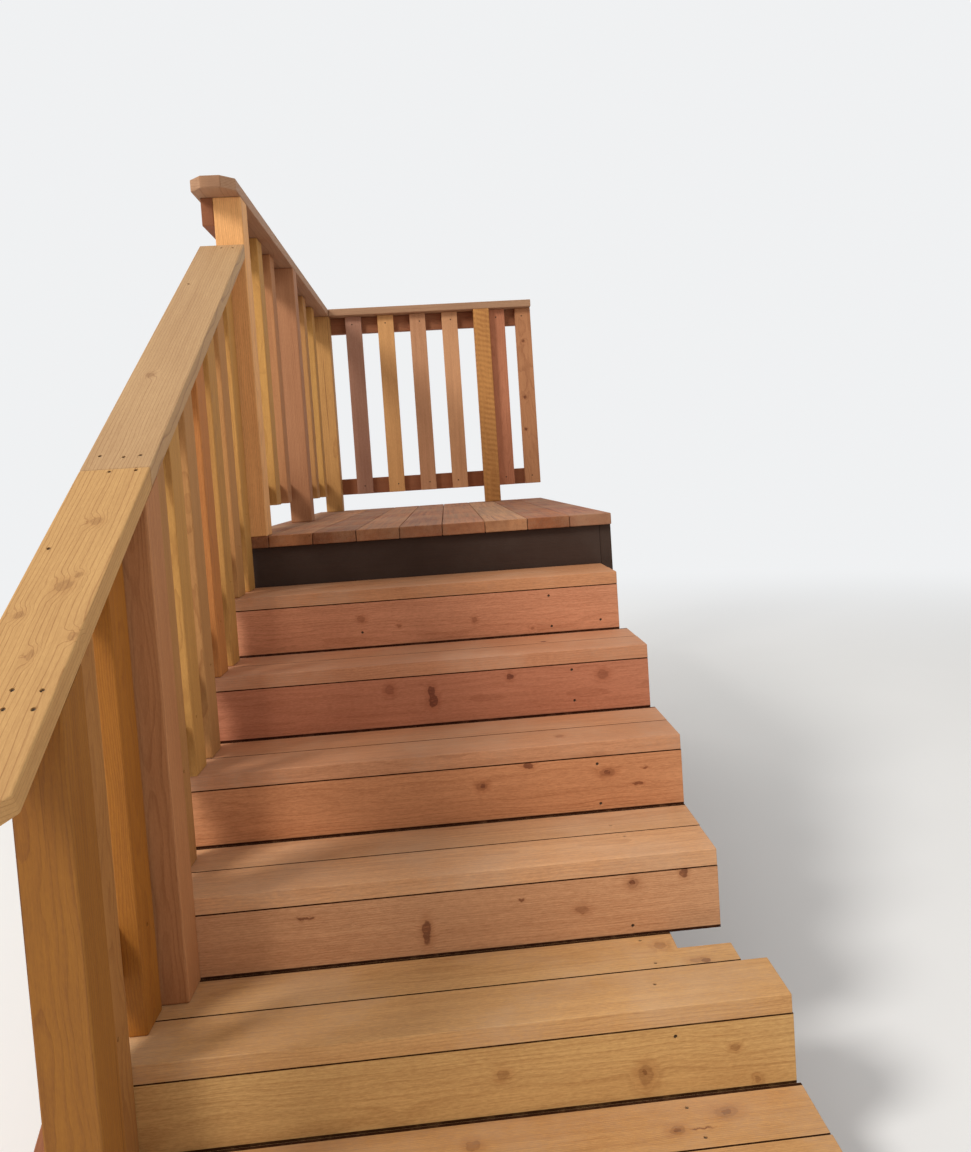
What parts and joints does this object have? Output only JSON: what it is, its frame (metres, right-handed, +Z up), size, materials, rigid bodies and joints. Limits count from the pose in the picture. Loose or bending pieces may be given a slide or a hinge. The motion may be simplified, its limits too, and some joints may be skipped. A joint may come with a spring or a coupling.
{
  "type": "deck stairs",
  "caption": "Wooden deck stairs with plank treads and risers and a railing on the left, climbing to a railed landing.",
  "frame": {"origin": "centre of the bounding box at ground level, under the stairs", "axes": "+Z up, +Y from the foot of the steps towards the landing, +X from the open left side towards the right side"},
  "size_m": [1.342, 4.253, 2.37],
  "materials": {
    "tread_wood": "satin",
    "riser_wood": "satin",
    "deck_wood": "matte",
    "rim_wood": "matte",
    "frame_wood": "matte",
    "post_wood": "satin",
    "rail_wood": "satin",
    "baluster_wood": "satin",
    "cap_wood": "satin"
  },
  "bodies": {
    "root": {"stringer_left": "frame_wood", "stringer_middle": "frame_wood", "stringer_right": "frame_wood", "tread_1": "tread_wood", "tread_2": "tread_wood", "tread_3": "tread_wood", "tread_4": "tread_wood", "tread_5": "tread_wood", "tread_6": "tread_wood", "riser_1": "riser_wood", "riser_2": "riser_wood", "riser_3": "riser_wood", "riser_4": "riser_wood", "riser_5": "riser_wood", "riser_6": "riser_wood", "front_rim": "rim_wood", "back_rim": "rim_wood", "left_rim": "rim_wood", "right_rim": "rim_wood", "landing_joists": "frame_wood", "leg_front_left": "frame_wood", "leg_front_right": "frame_wood", "leg_back_left": "frame_wood", "leg_back_right": "frame_wood", "landing_deck": "deck_wood", "stair_post_lower": "post_wood", "stair_post_upper": "post_wood", "corner_post": "post_wood", "landing_mid_post": "post_wood", "back_corner_post": "post_wood", "back_rail_post": "post_wood", "stair_top_rail": "rail_wood", "stair_bottom_rail": "rail_wood", "stair_balusters": "baluster_wood", "stair_cap": "cap_wood", "landing_top_rail": "rail_wood", "landing_bottom_rail": "rail_wood", "landing_cap": "cap_wood", "front_bay_balusters": "baluster_wood", "back_bay_balusters": "baluster_wood", "back_top_rail": "rail_wood", "back_bottom_rail": "rail_wood", "back_balusters_set": "baluster_wood", "back_cap": "cap_wood"}
  },
  "joints": []
}
